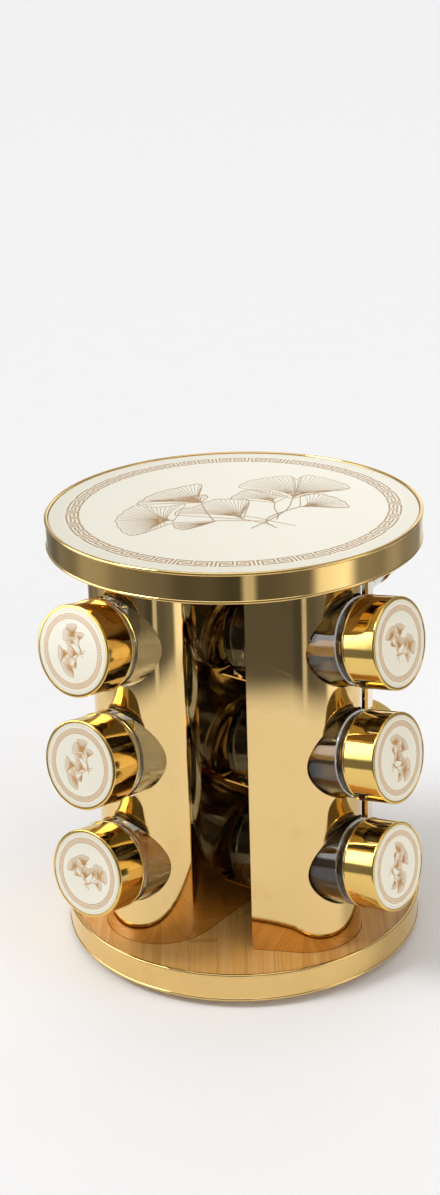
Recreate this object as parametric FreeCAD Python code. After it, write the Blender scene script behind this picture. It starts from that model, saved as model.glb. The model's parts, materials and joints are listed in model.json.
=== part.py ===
"""Revolving spice carousel: four bent sheet columns of three jars each, between two round trays.

Millimetres. +Z is up, Z = 0 is the surface it stands on, and the rack turns about the Z axis.
At rest the columns point along +X, +Y, -X and -Y. Everything that repeats four times is drawn
in one column's own frame, where X runs outward and Z up, and is then turned about the axis.
"""
import FreeCAD
import Part
import math
import os

# ---- driving dimensions ------------------------------------------------------------------
RIM_R = 95.0                # outer radius of both trays, over their rolled edges
SHEET = 0.8                 # thickness of all bent and spun sheet metal
BEAD_R = 0.9                # radius of the rolled edge beads on the two tray bands
BAND_H = 15.5               # height of each tray's band
GROUND_GAP = 4.0            # from the table to the bottom of the lower tray
COLUMN_H = 198.0            # open height between the two trays' bands

COLUMNS = {"right": 0.0, "rear": 90.0, "left": 180.0, "front": 270.0}
LEVELS = {"bottom": 0, "middle": 1, "top": 2}

WALL_Y = 14.0               # middle plane of a column's long wall, which is also half the core
NOSE_X = 51.5               # centre of the rounded nose
NOSE_R = 29.0               # middle radius of the rounded nose
FLAP_ANGLE = 27.0           # how far the short wall turns away from the column's axis
FLAP_LENGTH = 23.0
HEM_WIDTH = 4.0             # folded safety edge on the short wall
CORE_FLANGE = 8.0           # return flange inside the square core, spot-welded to the next column
FLANGE_GAP = 0.1            # between that flange and the next column's long wall
PANEL_BITE = 1.0            # how deep a column's edges sit in the grooves of the two boards
GROOVE_PLAY = 0.2           # room on each side of the sheet in those grooves

JAR_TILT = 10.0             # the jars rise outward by this angle
JAR_PITCH = 60.0
JAR_AXIS_Y = WALL_Y - NOSE_R
TOP_JAR_Z = 189.0           # height of the top jar's cap face centre
CAP_FACE_X = 108.2          # distance of every cap face centre from the turning axis' plane
JAR_HOLE_R = 22.9

GLASS_R = 22.0
GLASS_WALL = 2.2
GLASS_BASE = 3.4
HEEL_R = 3.0
BODY_LENGTH = 71.5          # from the jar's bottom to the end of its shoulder
BEAD_LENGTH = 1.2           # glass ring behind the cap
BEAD_OUT_R = 21.2
NECK_R = 18.6
NECK_BORE_R = 16.0
JAR_LENGTH = 91.0           # from the jar's bottom to the cap's face
CAP_R = 22.4
CAP_SKIRT = 18.0
CAP_WALL = 0.6
CAP_TOP = 0.6
CAP_RECESS = 0.4            # the face is sunk by this inside its rim, for the printed disc
CAP_RIM = 1.4
LINER_TOP = 1.0
CAP_CORNER_R = 0.8          # round between the cap's skirt and its face
CAP_ROLL = 1.2              # length of the rolled rear edge of the cap
CAP_ROLL_OUT = 0.3          # how far that edge stands out
LINER_PLAY = 0.5            # between the liner and the glass neck
RUNNING = 0.05              # running clearance
EASE = 0.3                  # small bevels on moulded and glass edges
PUSH_UP = 1.0               # dish under each jar
LIP_EASE = 0.7              # bevel on both edges of the jar's lip

TAB_WIDTH = 14.0            # lanced shelf under each jar's inner end
TAB_REACH = 10.0
TAB_GAP = 0.3

BOARD_PLAY = 0.1            # between each board and the beads round it
BOARD_R = RIM_R - 2.0 * BEAD_R - BOARD_PLAY
FLANGE_IN_LOW = 62.0        # inner radius of the lower band's bottom flange
FLANGE_IN_HIGH = 88.0
FLOOR_DROP = 2.0            # the bamboo floor lies this far below the rolled rim
PANEL_DROP = 0.7            # the printed panel lies this far below the rolled rim
PRINT_T = 3.0
PRINT_BEVEL = 0.6

FOOT_R = 72.0
FOOT_T = 1.2
FOOT_TOP = 3.6
BOSS_R = 16.0
BOSS_TOP = 8.6
PAD_R = 7.0
PAD_RING_R = 60.0
BALL_R = 1.6
BALL_COUNT = 24
BALL_RING_R = 49.0
RACE_IN_R = 41.0
RACE_OUT_R = 57.0
RACE_T = 1.0
LOW_TRACK = 0.2             # depth of the ball track in the lower race
HIGH_TRACK = 0.3            # and in the upper race
CAGE_HALF_WIDTH = 2.8
CAGE_HALF_T = 0.5
PAD_ROUND = 0.5
RIVET_RING_R = 43.8
RIVET_R = 0.9
RIVET_HEAD_R = 1.7
RIVET_HEAD_T = 0.6
SCREW_RING_R = 54.2
SCREW_R = 1.2
SCREW_HEAD_R = 2.1
SCREW_HEAD_T = 1.0
SCREW_BITE = 5.5            # how far each screw enters the bamboo
SLOT = 0.5                  # width and depth of the screwdriver slot
ACCESS_HOLE_R = 4.0         # hole through which the screws are driven
FIXINGS = 4                 # rivets, screws and pads come in fours

ROD_R = 3.0
ROD_CHAMFER = 0.5
ROD_PAST_NUT = 0.6
ROD_BELOW_PRINT = 0.4
ROD_SEAT = 3.5              # how far below the floor's top the clamping washer bears
ROOM = 1.0                  # clearance round and above nuts and washers
NUT_AF = 10.0
NUT_T = 3.2
WASHER_R = 6.5
WASHER_T = 0.8
AXIAL_PLAY = 0.1

# ---- heights worked out from them --------------------------------------------------------
LOW_BOTTOM = GROUND_GAP
LOW_TOP = LOW_BOTTOM + BAND_H
HIGH_BOTTOM = LOW_TOP + COLUMN_H
HIGH_TOP = HIGH_BOTTOM + BAND_H
FLOOR_Z = LOW_TOP - FLOOR_DROP
PRINT_Z = HIGH_TOP - PANEL_DROP - PRINT_T
RACE_Z = FOOT_TOP + RACE_T + BALL_R - LOW_TRACK
RECESS_Z = RACE_Z + BALL_R + RACE_T - HIGH_TRACK

Z_AXIS = FreeCAD.Vector(0, 0, 1)
ORIGIN = FreeCAD.Vector(0, 0, 0)


def vec(x, y, z=0.0):
    return FreeCAD.Vector(x, y, z)


def polar(centre, radius, degrees):
    angle = math.radians(degrees)
    return vec(centre[0] + radius * math.cos(angle), centre[1] + radius * math.sin(angle))


def line(a, b):
    return Part.LineSegment(a, b).toShape()


def arc(a, through, b):
    return Part.Arc(a, through, b).toShape()


def tube(outer_r, inner_r, z_low, z_high):
    outer = Part.makeCylinder(outer_r, z_high - z_low, vec(0, 0, z_low))
    return outer.cut(Part.makeCylinder(inner_r, z_high - z_low, vec(0, 0, z_low)))


def disc(radius, z_low, z_high):
    return Part.makeCylinder(radius, z_high - z_low, vec(0, 0, z_low))


def turned(shape, degrees):
    copy = shape.copy()
    copy.rotate(ORIGIN, Z_AXIS, degrees)
    return copy


def around(shape, count, start=0.0):
    """Copies of a shape spaced evenly about the turning axis."""
    return [turned(shape, start + index * 360.0 / count) for index in range(count)]


def export(name, solids):
    """Write one node: a single solid, or a group of separate ones."""
    shape = solids[0] if len(solids) == 1 else Part.makeCompound(solids)
    for solid in shape.Solids:
        assert solid.isValid() and solid.Volume > 0, name
    shape.exportStep("parts/" + name + ".step")
    print(name, len(shape.Solids), round(shape.Volume / 1000.0, 2), "cm3")


# ---- one column's sheet ------------------------------------------------------------------
def column_face(half):
    """Plan section of a column: core flange, long wall, nose and short wall, 2 x half thick."""
    nose = (NOSE_X, JAR_AXIS_Y)
    flap_start = FLAP_ANGLE - 90.0
    along = math.radians(180.0 + FLAP_ANGLE)
    step = vec(FLAP_LENGTH * math.cos(along), FLAP_LENGTH * math.sin(along))
    inner_end = -WALL_Y + SHEET + FLANGE_GAP
    outer_r = NOSE_R + half
    inner_r = NOSE_R - half
    middle = 0.5 * (90.0 + flap_start)
    outer = [polar(nose, outer_r, angle) for angle in (90.0, middle, flap_start)]
    inner = [polar(nose, inner_r, angle) for angle in (90.0, middle, flap_start)]
    corner = vec(inner_end - half, WALL_Y + half)
    flange_low = WALL_Y - CORE_FLANGE
    edges = [
        line(corner, outer[0]),
        arc(*outer),
        line(outer[2], outer[2] + step),
        line(outer[2] + step, inner[2] + step),
        line(inner[2] + step, inner[2]),
        arc(inner[2], inner[1], inner[0]),
        line(inner[0], vec(inner_end + half, WALL_Y - half)),
        line(vec(inner_end + half, WALL_Y - half), vec(inner_end + half, flange_low)),
        line(vec(inner_end + half, flange_low), vec(inner_end - half, flange_low)),
        line(vec(inner_end - half, flange_low), corner),
    ]
    return Part.Face(Part.Wire(edges))


def hem():
    """The short wall's free edge, folded back once on its inner side."""
    start = polar((NOSE_X, JAR_AXIS_Y), NOSE_R - SHEET / 2, FLAP_ANGLE - 90.0)
    height = HIGH_BOTTOM - FLOOR_Z
    strip = Part.makeBox(HEM_WIDTH, SHEET, height, vec(FLAP_LENGTH - HEM_WIDTH, -SHEET, 0))
    strip.rotate(ORIGIN, Z_AXIS, 180.0 + FLAP_ANGLE)
    strip.translate(vec(start.x, start.y, FLOOR_Z))
    return strip


def jar_place(level):
    """Lay something drawn along +Z, jar bottom at the origin, onto one jar's axis."""
    tilt = math.radians(JAR_TILT)
    face_z = TOP_JAR_Z - (len(LEVELS) - 1 - level) * JAR_PITCH
    bottom_x = CAP_FACE_X - JAR_LENGTH * math.cos(tilt)
    bottom = vec(bottom_x, JAR_AXIS_Y, face_z - JAR_LENGTH * math.sin(tilt))
    return FreeCAD.Placement(bottom, FreeCAD.Rotation(vec(0, 1, 0), 90.0 - JAR_TILT))


def shelf_height(level):
    """Top of the shelf under a jar's inner end: just below the lowest point of its bottom edge."""
    edge = jar_place(level).multVec(vec(GLASS_R, 0, 0))
    return edge.z - TAB_GAP


def column_panel():
    low = FLOOR_Z - PANEL_BITE
    high = HIGH_BOTTOM + SHEET + PANEL_BITE
    face = column_face(SHEET / 2)
    face.translate(vec(0, 0, low))
    panel = face.extrude(vec(0, 0, high - low)).fuse(hem())
    for level in LEVELS.values():
        hole = Part.makeCylinder(JAR_HOLE_R, JAR_LENGTH, vec(0, 0, JAR_LENGTH / 2))
        hole.Placement = jar_place(level).multiply(hole.Placement)
        shelf = shelf_height(level)
        left = -JAR_AXIS_Y - TAB_WIDTH / 2
        window_corner = vec(left, WALL_Y - 2 * SHEET, shelf)
        window = Part.makeBox(TAB_WIDTH, 4 * SHEET, TAB_REACH, window_corner)
        tab_corner = vec(left, WALL_Y - SHEET / 2, shelf - SHEET)
        tab = Part.makeBox(TAB_WIDTH, TAB_REACH + SHEET, SHEET, tab_corner)
        panel = panel.cut(hole).cut(window).fuse(tab)
    return panel.removeSplitter()


def column_grooves(z_low, z_high):
    """The four grooves that a board needs for the columns' edges."""
    face = column_face(SHEET / 2 + GROOVE_PLAY)
    face.translate(vec(0, 0, z_low))
    groove = face.extrude(vec(0, 0, z_high - z_low))
    return around(groove, len(COLUMNS))


# ---- jars and caps, drawn along +Z from the jar's bottom -----------------------------------
def spun(edges):
    """Turn a closed outline in the XZ plane about Z."""
    solid = Part.Face(Part.Wire(edges)).revolve(ORIGIN, Z_AXIS, 360)
    return solid if solid.ShapeType == "Solid" else Part.Solid(solid)


def at(radius, height):
    return vec(radius, 0, height)


def corner_arc(centre_r, centre_h, radius, first, last):
    """A round corner of an outline, between two directions in degrees from +X towards +Z."""
    points = []
    for degrees in (first, 0.5 * (first + last), last):
        angle = math.radians(degrees)
        points.append(at(centre_r + radius * math.cos(angle), centre_h + radius * math.sin(angle)))
    return points


def outline(parts):
    """Join points (straight runs) and three-point lists (arcs) into one closed outline."""
    edges = []
    here = parts[-1][2] if isinstance(parts[-1], list) else parts[-1]
    for item in parts:
        start = item[0] if isinstance(item, list) else item
        if here.distanceToPoint(start) > 1e-6:
            edges.append(line(here, start))
        if isinstance(item, list):
            edges.append(arc(*item))
            here = item[2]
        else:
            here = item
    return edges


def glass_jar():
    """Clear jar: pushed-up base, round heel, straight body, short shoulder, ring and neck."""
    bore_r = GLASS_R - GLASS_WALL
    finish = JAR_LENGTH - CAP_RECESS - CAP_TOP - 2 * RUNNING - LINER_TOP
    shoulder = BODY_LENGTH - HEEL_R
    neck_start = BODY_LENGTH + BEAD_LENGTH
    foot_r = GLASS_R - HEEL_R - 2.0 * PUSH_UP
    return spun(outline([
        at(0, PUSH_UP),
        [at(0, PUSH_UP), at(foot_r / 2, 0.75 * PUSH_UP), at(foot_r, 0)],
        corner_arc(GLASS_R - HEEL_R, HEEL_R, HEEL_R, -90, 0),
        corner_arc(GLASS_R - HEEL_R, shoulder, HEEL_R, 0, 90),
        at(GLASS_R - HEEL_R, BODY_LENGTH),
        at(BEAD_OUT_R - EASE, BODY_LENGTH),
        at(BEAD_OUT_R, BODY_LENGTH + EASE),
        at(BEAD_OUT_R, neck_start - EASE),
        at(BEAD_OUT_R - EASE, neck_start),
        at(NECK_R, neck_start),
        at(NECK_R, finish - LIP_EASE),
        at(NECK_R - LIP_EASE, finish),
        at(NECK_BORE_R + LIP_EASE, finish),
        at(NECK_BORE_R, finish - LIP_EASE),
        at(NECK_BORE_R, BODY_LENGTH),
        at(bore_r, shoulder - PUSH_UP),
        corner_arc(bore_r - HEEL_R, GLASS_BASE + HEEL_R, HEEL_R, 0, -90),
        at(0, GLASS_BASE),
    ]))


def cap_shell():
    """Metal cap: rolled rear edge, straight skirt, rounded rim and a sunk face."""
    rear = JAR_LENGTH - CAP_SKIRT
    inner_r = CAP_R - CAP_WALL
    corner = CAP_CORNER_R
    ease = CAP_ROLL_OUT / 1.5
    rolled = at(CAP_R + CAP_ROLL_OUT, rear + CAP_ROLL / 2)
    under = JAR_LENGTH - CAP_RECESS - CAP_TOP
    return spun(outline([
        at(inner_r, rear),
        [at(CAP_R - ease, rear), rolled, at(CAP_R, rear + CAP_ROLL)],
        corner_arc(CAP_R - corner, JAR_LENGTH - corner, corner, 0, 90),
        at(CAP_R - CAP_RIM + ease, JAR_LENGTH),
        at(CAP_R - CAP_RIM, JAR_LENGTH - CAP_RECESS),
        at(0, JAR_LENGTH - CAP_RECESS),
        at(0, under),
        at(inner_r - 2 * ease, under),
        at(inner_r, under - 2 * ease),
    ]))


def cap_liner():
    """Plastic sleeve inside the cap that screws onto the neck and seals on its lip."""
    rear = JAR_LENGTH - CAP_SKIRT + LINER_TOP
    outer_r = CAP_R - CAP_WALL - RUNNING
    inner_r = NECK_R + LINER_PLAY
    top = JAR_LENGTH - CAP_RECESS - CAP_TOP - RUNNING
    return spun(outline([
        at(inner_r, rear),
        at(outer_r, rear),
        at(outer_r, top - LINER_TOP),
        at(outer_r - LINER_TOP, top),
        at(0, top),
        at(0, top - LINER_TOP),
        at(inner_r, top - LINER_TOP),
    ]))


def placed(shape, level, turn):
    copy = shape.copy()
    copy.Placement = jar_place(level).multiply(copy.Placement)
    return turned(copy, turn)


# ---- trays -------------------------------------------------------------------------------
def band(z_low, z_high, flange_inner_r):
    """A tray's spun band: straight wall between two rolled beads, with a flange turned in below."""
    ring_r = RIM_R - BEAD_R
    wall_r = ring_r + BEAD_R / 2
    wall = tube(wall_r, wall_r - SHEET, z_low + BEAD_R, z_high - BEAD_R)
    low_bead = Part.makeTorus(ring_r, BEAD_R, vec(0, 0, z_low + BEAD_R))
    high_bead = Part.makeTorus(ring_r, BEAD_R, vec(0, 0, z_high - BEAD_R))
    flange = tube(ring_r, flange_inner_r, z_low, z_low + SHEET)
    return wall.fuse([low_bead, high_bead, flange])


def bamboo_floor():
    """Board in the lower tray, grooved above for the columns and recessed below for the bearing."""
    rod_seat = FLOOR_Z - ROD_SEAT
    board = disc(BOARD_R, LOW_BOTTOM + SHEET, FLOOR_Z)
    board = board.cut(disc(RACE_OUT_R + 3.0 * ROOM, LOW_BOTTOM, RECESS_Z))
    board = board.cut(disc(BOSS_R + 2.0 * ROOM, LOW_BOTTOM, rod_seat))
    board = board.cut(disc(ROD_R + RUNNING, LOW_BOTTOM, FLOOR_Z))
    for groove in column_grooves(FLOOR_Z - PANEL_BITE, HIGH_BOTTOM):
        board = board.cut(groove)
    pilot = disc_at(SCREW_R, SCREW_RING_R, RECESS_Z, RECESS_Z + SCREW_BITE + SLOT)
    for hole in around(pilot, FIXINGS, 45.0):
        board = board.cut(hole)
    return board


def top_board():
    """Board in the upper tray, grooved below for the columns, with a pocket above for the nut."""
    board = disc(BOARD_R, HIGH_BOTTOM + SHEET, PRINT_Z)
    board = board.cut(disc(WASHER_R + ROOM, top_pocket(), PRINT_Z))
    board = board.cut(disc(ROD_R + RUNNING, HIGH_BOTTOM, PRINT_Z))
    for groove in column_grooves(FLOOR_Z, HIGH_BOTTOM + SHEET + PANEL_BITE):
        board = board.cut(groove)
    return board


def top_pocket():
    return PRINT_Z - WASHER_T - NUT_T - ROOM


def printed_panel():
    """Round printed panel in the top tray, with a small bevel round its edge."""
    top = PRINT_Z + PRINT_T
    return spun(outline([
        at(0, PRINT_Z),
        at(BOARD_R, PRINT_Z),
        at(BOARD_R, top - PRINT_BEVEL),
        at(BOARD_R - PRINT_BEVEL, top),
        at(0, top),
    ]))


# ---- turntable ---------------------------------------------------------------------------
def disc_at(radius, ring_r, z_low, z_high):
    return Part.makeCylinder(radius, z_high - z_low, vec(ring_r, 0, z_low))


def foot_plate():
    """Pressed plate that stays still, with a raised boss in its middle for the pivot."""
    plate = tube(FOOT_R, BOSS_R - FOOT_T, FOOT_TOP - FOOT_T, FOOT_TOP)
    boss = tube(BOSS_R, BOSS_R - FOOT_T, FOOT_TOP - FOOT_T, BOSS_TOP)
    crown = tube(BOSS_R, ROD_R + RUNNING, BOSS_TOP - FOOT_T, BOSS_TOP)
    plate = plate.fuse([boss, crown]).removeSplitter()
    for hole in around(disc_at(RIVET_R, RIVET_RING_R, FOOT_TOP - FOOT_T, FOOT_TOP), FIXINGS):
        plate = plate.cut(hole)
    return plate.cut(turned(disc_at(ACCESS_HOLE_R, SCREW_RING_R, 0, FOOT_TOP), 45.0))


def ball_track():
    return Part.makeTorus(BALL_RING_R, BALL_R + RUNNING, vec(0, 0, RACE_Z))


def lower_race():
    race = tube(RACE_OUT_R, RACE_IN_R, FOOT_TOP, FOOT_TOP + RACE_T).cut(ball_track())
    for hole in around(disc_at(RIVET_R, RIVET_RING_R, FOOT_TOP, FOOT_TOP + RACE_T), FIXINGS):
        race = race.cut(hole)
    return race.cut(turned(disc_at(ACCESS_HOLE_R, SCREW_RING_R, 0, RECESS_Z), 45.0))


def upper_race():
    race = tube(RACE_OUT_R, RACE_IN_R, RECESS_Z - RACE_T, RECESS_Z).cut(ball_track())
    for hole in around(disc_at(SCREW_R, SCREW_RING_R, RECESS_Z - RACE_T, RECESS_Z), FIXINGS, 45.0):
        race = race.cut(hole)
    return race


def race_rivet():
    low = FOOT_TOP - FOOT_T
    high = FOOT_TOP + RACE_T
    shank = disc_at(RIVET_R, RIVET_RING_R, low, high)
    low_head = disc_at(RIVET_HEAD_R, RIVET_RING_R, low - RIVET_HEAD_T, low)
    high_head = disc_at(RIVET_HEAD_R, RIVET_RING_R, high, high + RIVET_HEAD_T)
    return shank.fuse([low_head, high_head])


def race_screw():
    """Slotted pan-head screw from the upper race up into the bamboo."""
    seat = RECESS_Z - RACE_T
    shank = disc_at(SCREW_R, SCREW_RING_R, seat, RECESS_Z + SCREW_BITE)
    head = disc_at(SCREW_HEAD_R, SCREW_RING_R, seat - SCREW_HEAD_T, seat)
    reach = SCREW_HEAD_R + SLOT
    slot_corner = vec(SCREW_RING_R - reach, -SLOT / 2, seat - SCREW_HEAD_T)
    slot = Part.makeBox(2 * reach, SLOT, SLOT, slot_corner)
    return shank.fuse(head).cut(slot)


def ball_cage():
    outer_r = BALL_RING_R + CAGE_HALF_WIDTH
    inner_r = BALL_RING_R - CAGE_HALF_WIDTH
    cage = tube(outer_r, inner_r, RACE_Z - CAGE_HALF_T, RACE_Z + CAGE_HALF_T)
    pocket = disc_at(BALL_R + RUNNING, BALL_RING_R, RACE_Z - BALL_R, RACE_Z + BALL_R)
    for hole in around(pocket, BALL_COUNT):
        cage = cage.cut(hole)
    return cage


def balls():
    ball = Part.makeSphere(BALL_R, vec(BALL_RING_R, 0, RACE_Z))
    return around(ball, BALL_COUNT)


def foot_pads():
    """Four rubber pads, each with a rounded lower edge."""
    pad = disc(PAD_R, 0, FOOT_TOP - FOOT_T)
    lower_edge = [edge for edge in pad.Edges if edge.BoundBox.ZMax < PAD_ROUND]
    pad = pad.makeFillet(PAD_ROUND, lower_edge)
    pad.translate(vec(PAD_RING_R, 0, 0))
    return around(pad, FIXINGS)


# ---- tie rod -----------------------------------------------------------------------------
def washer(z_low):
    return tube(WASHER_R, ROD_R + RUNNING, z_low, z_low + WASHER_T)


def nut(z_low):
    """Hexagon nut with its upper corners turned off by a cone."""
    corner_r = NUT_AF / 2 / math.cos(math.radians(30.0))
    points = [polar((0, 0), corner_r, 60.0 * index) for index in range(7)]
    body = Part.Face(Part.makePolygon(points)).extrude(vec(0, 0, NUT_T))
    cone_low_r = corner_r + 0.7 * NUT_T
    cone = Part.makeCone(cone_low_r, NUT_AF / 2, 1.15 * NUT_T)
    body = body.common(cone)
    body.translate(vec(0, 0, z_low))
    return body.cut(disc(ROD_R, z_low, z_low + NUT_T))


def rod_stack():
    """Heights of the three washers and three nuts: pivot, floor clamp and top clamp."""
    pivot_washer = BOSS_TOP - FOOT_T - AXIAL_PLAY - WASHER_T
    clamp_washer = FLOOR_Z - ROD_SEAT - WASHER_T
    washers = [pivot_washer, clamp_washer, top_pocket()]
    nuts = [pivot_washer - NUT_T, clamp_washer - NUT_T, top_pocket() + WASHER_T]
    return washers, nuts


def tie_rod():
    low = rod_stack()[1][0] - ROD_PAST_NUT
    rod = disc(ROD_R, low, PRINT_Z - ROD_BELOW_PRINT)
    end_circles = [edge for edge in rod.Edges if edge.Length < 7 * ROD_R]
    return rod.makeChamfer(ROD_CHAMFER, end_circles)


# ---- build every node --------------------------------------------------------------------
os.makedirs("parts", exist_ok=True)

washer_heights, nut_heights = rod_stack()
export("rubber_feet", foot_pads())
export("foot_plate", [foot_plate()])
export("lower_race", [lower_race()])
export("race_rivets", around(race_rivet(), FIXINGS))
export("bearing_balls", balls())
export("ball_cage", [ball_cage()])
export("upper_race", [upper_race()])
export("race_screws", around(race_screw(), FIXINGS, 45.0))
export("base_band", [band(LOW_BOTTOM, LOW_TOP, FLANGE_IN_LOW)])
export("bamboo_floor", [bamboo_floor()])
export("top_band", [band(HIGH_BOTTOM, HIGH_TOP, FLANGE_IN_HIGH)])
export("top_board", [top_board()])
export("top_printed_panel", [printed_panel()])
export("tie_rod", [tie_rod()])
export("tie_rod_nuts", [nut(height) for height in nut_heights])
export("tie_rod_washers", [washer(height) for height in washer_heights])

panel = column_panel()
jar = glass_jar()
shell = cap_shell()
liner = cap_liner()
for side, turn in COLUMNS.items():
    export("column_panel_" + side, [turned(panel, turn)])
    for name, level in LEVELS.items():
        spot = side + "_" + name
        export("jar_glass_" + spot, [placed(jar, level, turn)])
        export("cap_liner_" + spot, [placed(liner, level, turn)])
        export("cap_shell_" + spot, [placed(shell, level, turn)])
shelves = [round(shelf_height(level), 2) for level in LEVELS.values()]
print("height", HIGH_TOP, "floor", FLOOR_Z, "shelves", shelves)
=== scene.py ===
# %% [markdown]
# # A revolving spice carousel
# The real object is a kitchen turntable: two round gold trays hold four upright columns of bent,
# mirror-polished sheet, and every column carries three glass jars with gold screw caps.
# The metalwork, the glass and the bearing come from the CAD model, already in place. What Blender
# adds is everything that paint, print and polish do: the finishes, the printed top, the printed
# discs on the caps, the sifter inserts in the jar necks, and the studio.

import json
import math

import bmesh
import bpy
from mathutils import Matrix, Vector

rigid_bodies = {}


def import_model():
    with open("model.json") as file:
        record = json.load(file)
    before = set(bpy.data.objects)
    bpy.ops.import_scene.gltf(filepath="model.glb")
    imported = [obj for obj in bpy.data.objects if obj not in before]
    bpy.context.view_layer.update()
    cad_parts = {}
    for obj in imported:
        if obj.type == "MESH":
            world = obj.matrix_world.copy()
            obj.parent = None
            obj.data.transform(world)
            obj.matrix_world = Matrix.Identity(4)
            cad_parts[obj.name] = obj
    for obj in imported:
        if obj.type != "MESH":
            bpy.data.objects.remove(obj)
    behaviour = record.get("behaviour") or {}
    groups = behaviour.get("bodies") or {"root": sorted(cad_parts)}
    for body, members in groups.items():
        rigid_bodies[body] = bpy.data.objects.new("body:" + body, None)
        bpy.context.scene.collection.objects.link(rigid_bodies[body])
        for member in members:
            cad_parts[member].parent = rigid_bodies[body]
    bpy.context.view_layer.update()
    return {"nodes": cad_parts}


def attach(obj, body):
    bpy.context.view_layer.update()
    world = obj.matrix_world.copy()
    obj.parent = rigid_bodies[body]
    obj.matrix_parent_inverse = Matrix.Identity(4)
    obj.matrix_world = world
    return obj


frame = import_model()
nodes = frame["nodes"]

# %% [markdown]
# ## Sizes shared by several pieces
# Blender works in metres, and a maker thinks in millimetres, so one constant turns one into the
# other. The jars lie along axes that rise outward by ten degrees, three to a column. A matrix that
# lays a thing drawn upright, with the jar's bottom at the origin, onto one of those axes is the one
# tool that every jar part needs, so it comes first.

# %% Jar positions
MM = 0.001
SIDES = {"right": 0, "rear": 90, "left": 180, "front": 270}
LEVELS = {"bottom": 69 * MM, "middle": 129 * MM, "top": 189 * MM}
JAR_TILT = math.radians(10)
JAR_LENGTH = 91 * MM
CAP_FACE_REACH = 108.2 * MM
JAR_AXIS_SIDE = -15 * MM


def jar_matrix(side, level):
    """Where a jar drawn along +Z, bottom at the origin, lies in the rack."""
    bottom = Vector((
        CAP_FACE_REACH - JAR_LENGTH * math.cos(JAR_TILT),
        JAR_AXIS_SIDE,
        LEVELS[level] - JAR_LENGTH * math.sin(JAR_TILT),
    ))
    lay_down = Matrix.Rotation(math.radians(90) - JAR_TILT, 4, "Y")
    turn = Matrix.Rotation(math.radians(SIDES[side]), 4, "Z")
    return turn @ Matrix.Translation(bottom) @ lay_down


PLACES = [(side, level) for side in SIDES for level in LEVELS]
print("jars:", len(PLACES))

# %% [markdown]
# ## Camera
# The picture is tall and narrow, so the camera's vertical sensor size sets the framing. The camera
# stands about a metre away, looks down by 21.5 degrees and leans by less than two degrees. Building
# the three axes by hand, instead of aiming with a Track To constraint, keeps that small lean exact.

# %% Camera
CAMERA_AT = Vector((0.5222, -0.6802, 0.5220))
CAMERA_LENS = 36.17
CAMERA_YAW = math.radians(-0.558)
CAMERA_PITCH = math.radians(21.51)
CAMERA_ROLL = math.radians(-1.743)
VIEW_TURN = math.radians(37.5)

forward = Vector((
    math.sin(CAMERA_YAW) * math.cos(CAMERA_PITCH),
    math.cos(CAMERA_YAW) * math.cos(CAMERA_PITCH),
    -math.sin(CAMERA_PITCH),
))
level_right = Vector((math.cos(CAMERA_YAW), -math.sin(CAMERA_YAW), 0))
level_up = level_right.cross(forward)
right = math.cos(CAMERA_ROLL) * level_right + math.sin(CAMERA_ROLL) * level_up
up = right.cross(forward)

lens = bpy.data.cameras.new("product camera")
lens.sensor_fit = "VERTICAL"
lens.sensor_height = 24
lens.lens = CAMERA_LENS
lens.clip_start = 0.01
camera = bpy.data.objects.new("product camera", lens)
axes = Matrix((right, up, -forward)).transposed().to_4x4()
camera.matrix_world = Matrix.Translation(CAMERA_AT) @ Matrix.Rotation(VIEW_TURN, 4, "Z") @ axes
bpy.context.scene.collection.objects.link(camera)
bpy.context.scene.camera = camera
print("camera looks along", [round(x, 3) for x in camera.matrix_world.to_3x3() @ Vector((0, 0, -1))])

# %% [markdown]
# ## Writing shaders as sums
# A node tree is arithmetic drawn with boxes. The small class below wraps one socket, so that
# `0.2 + 0.1 * scratches` adds the Math nodes by itself, in either order. A second class holds the
# material while it is made, and every node in this file comes from its one `node` method: the
# settings go in first, because they decide which sockets a node has, and then values or links.

# %% Shader helpers
class Wire:
    """One output socket that understands Python's arithmetic."""

    def __init__(self, finish, socket):
        self.finish = finish
        self.socket = socket

    def math(self, operation, *values):
        return self.finish.node("ShaderNodeMath", {"operation": operation}, dict(enumerate(values)))

    def __add__(self, other):
        return self.math("ADD", self, other)

    def __sub__(self, other):
        return self.math("SUBTRACT", self, other)

    def __rsub__(self, other):
        return self.math("SUBTRACT", other, self)

    def __mul__(self, other):
        return self.math("MULTIPLY", self, other)

    def __truediv__(self, other):
        return self.math("DIVIDE", self, other)

    __radd__ = __add__
    __rmul__ = __mul__

    def call(self, operation):
        return self.math(operation, self)

    def smooth(self, low, high):
        """0 below low, 1 above high, and an S-shaped rise between them."""
        settings = {"interpolation_type": "SMOOTHSTEP"}
        inputs = {"Value": self, "From Min": low, "From Max": high}
        return self.finish.node("ShaderNodeMapRange", settings, inputs)


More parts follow.
